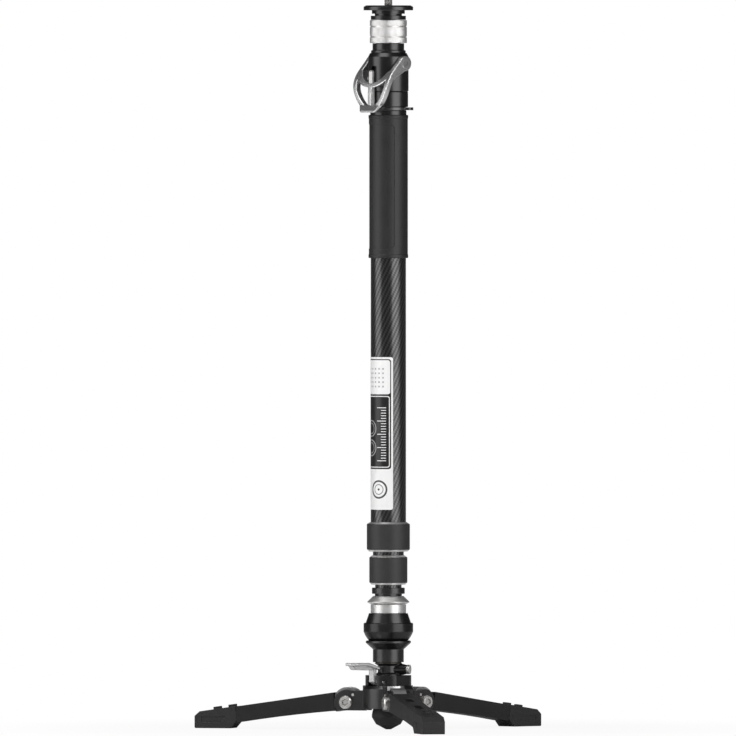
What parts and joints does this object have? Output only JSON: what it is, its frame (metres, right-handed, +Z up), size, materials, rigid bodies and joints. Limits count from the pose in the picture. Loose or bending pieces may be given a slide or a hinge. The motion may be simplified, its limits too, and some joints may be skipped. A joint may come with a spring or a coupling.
{
  "type": "video monopod",
  "caption": "Telescoping video monopod with a tilting, panning ball base, folding legs with rubber boots, a foot pedal, twist collars, a quick-release lever and a stud platform.",
  "frame": {"origin": "on the floor, at the flat tip of the centre foot under the column's axis", "axes": "+Z up the column; -Y is the side of the lever and the pedal"},
  "size_m": [0.4044, 0.3503, 0.831],
  "materials": {
    "black_anodised": "satin",
    "rubber": "matte",
    "carbon": "gloss",
    "silver": "satin",
    "grey_alloy": "satin",
    "steel": "brushed",
    "bronze": "satin",
    "nylon": "matte"
  },
  "bodies": {
    "base": {"centre_foot": "rubber", "foot_stud": "steel", "hub": "black_anodised", "wear_plates": "steel", "leg_bolts": "steel", "stop_pins": "steel", "turret": "black_anodised", "pan_post": "black_anodised", "pan_washer": "bronze", "pedal_pin": "steel"},
    "right_leg": {"right_leg": "black_anodised", "right_knuckle": "grey_alloy", "right_boot": "rubber"},
    "rear_leg": {"rear_leg": "black_anodised", "rear_knuckle": "grey_alloy", "rear_boot": "rubber"},
    "left_leg": {"left_leg": "black_anodised", "left_knuckle": "grey_alloy", "left_boot": "rubber"},
    "pan_lock": {"pan_lock_screw": "silver"},
    "pedal": {"pedal": "silver"},
    "draw_rod": {"draw_rod": "steel", "clamp_dome": "grey_alloy", "disc_springs": "steel"},
    "cup": {"swivel_cup": "black_anodised", "pan_retainer": "steel", "rim_seal": "rubber"},
    "liner": {"seat_liner": "nylon"},
    "ball": {"ball": "black_anodised", "ball_cap": "black_anodised", "ball_stem": "silver", "column_foot": "black_anodised", "inner_tube": "carbon", "inner_bush": "nylon"},
    "union": {"union_ring": "silver"},
    "middle": {"middle_tube": "carbon", "middle_bush": "nylon", "middle_ferrule": "black_anodised", "middle_collet": "nylon"},
    "lower_collar": {"lower_collar": "silver", "lower_collar_sleeve": "rubber"},
    "upper": {"outer_tube": "carbon", "outer_ferrule": "black_anodised", "outer_collet": "nylon", "grip": "rubber", "grip_collar": "black_anodised", "housing_base": "black_anodised", "lever_housing": "black_anodised", "top_neck": "black_anodised"},
    "upper_collar": {"upper_collar": "silver", "upper_collar_sleeve": "rubber"},
    "strap_ring": {"strap_ring": "grey_alloy"},
    "lever": {"lever": "silver", "lever_tongue": "silver", "lever_screws": "steel", "cam_shaft": "steel"},
    "push_rod": {"push_rod": "nylon"},
    "lock_ring": {"lock_ring": "silver"},
    "platform": {"platform": "black_anodised", "camera_stud": "steel"}
  },
  "joints": [
    {"name": "right_leg_fold", "type": "hinge", "parent": "base", "child": "right_leg", "pos_m": [0.04018, -0.0232, 0.0307], "axis": [-0.5, -0.866, 0], "range_deg": [0, 92]},
    {"name": "rear_leg_fold", "type": "hinge", "parent": "base", "child": "rear_leg", "pos_m": [0, 0.0464, 0.0307], "axis": [1, 0, 0], "range_deg": [0, 92]},
    {"name": "left_leg_fold", "type": "hinge", "parent": "base", "child": "left_leg", "pos_m": [-0.04018, -0.0232, 0.0307], "axis": [-0.5, 0.866, 0], "range_deg": [0, 92]},
    {"name": "pan_lock_turn", "type": "hinge", "parent": "base", "child": "pan_lock", "pos_m": [0, 0, 0.068], "axis": [0.866, 0.5, 0], "range_deg": [0, 180]},
    {"name": "pedal_press", "type": "hinge", "parent": "base", "child": "pedal", "pos_m": [0, -0.02, 0.054], "axis": [1, 0, 0], "range_deg": [0, 12], "stiffness_Nm_per_rad": 4, "springref_deg": -5.73},
    {"name": "rod_lift", "type": "slide", "parent": "base", "child": "draw_rod", "axis": [0, 0, 1], "range_m": [0, 0.0036]},
    {"name": "pan", "type": "hinge", "parent": "base", "child": "cup", "pos_m": [0, 0, 0.0757], "axis": [0, 0, 1], "continuous": true},
    {"name": "tilt_a", "type": "hinge", "parent": "cup", "child": "liner", "pos_m": [0, 0, 0.1203], "axis": [0.7071, -0.7071, 0], "range_deg": [-12, 12]},
    {"name": "tilt_b", "type": "hinge", "parent": "liner", "child": "ball", "pos_m": [0, 0, 0.1203], "axis": [0.7071, 0.7071, 0], "range_deg": [-12, 12]},
    {"name": "union_turn", "type": "hinge", "parent": "ball", "child": "union", "pos_m": [0, 0, 0.1465], "axis": [0, 0, 1], "range_deg": [0, 90]},
    {"name": "lower_slide", "type": "slide", "parent": "ball", "child": "middle", "axis": [0, 0, 1], "range_m": [0, 0.43]},
    {"name": "lower_collar_turn", "type": "hinge", "parent": "middle", "child": "lower_collar", "pos_m": [0, 0, 0.1806], "axis": [0, 0, 1], "range_deg": [0, 90]},
    {"name": "upper_slide", "type": "slide", "parent": "middle", "child": "upper", "axis": [0, 0, 1], "range_m": [0, 0.43]},
    {"name": "upper_collar_turn", "type": "hinge", "parent": "upper", "child": "upper_collar", "pos_m": [0, 0, 0.2182], "axis": [0, 0, 1], "range_deg": [0, 90]},
    {"name": "strap_ring_turn", "type": "hinge", "parent": "upper", "child": "strap_ring", "pos_m": [0, 0, 0.7029], "axis": [0, 0, 1], "range_deg": [-70, 190]},
    {"name": "lever_swing", "type": "hinge", "parent": "upper", "child": "lever", "pos_m": [0, 0, 0.7543], "axis": [-1, 0, 0], "range_deg": [0, 60]},
    {"name": "push_rod_lift", "type": "slide", "parent": "upper", "child": "push_rod", "axis": [0, 0, 1], "range_m": [0, 0.0026]},
    {"name": "lock_ring_turn", "type": "hinge", "parent": "upper", "child": "lock_ring", "pos_m": [0, 0, 0.7903], "axis": [0, 0, 1], "range_deg": [0, 90]},
    {"name": "platform_pan", "type": "hinge", "parent": "upper", "child": "platform", "pos_m": [0, 0, 0.8172], "axis": [0, 0, 1], "continuous": true}
  ],
  "couplings": [
    {"joint": "rod_lift", "follows": "pedal_press", "m_per_rad": 0.0165},
    {"joint": "push_rod_lift", "follows": "lever_swing", "m_per_rad": 0.002387}
  ]
}
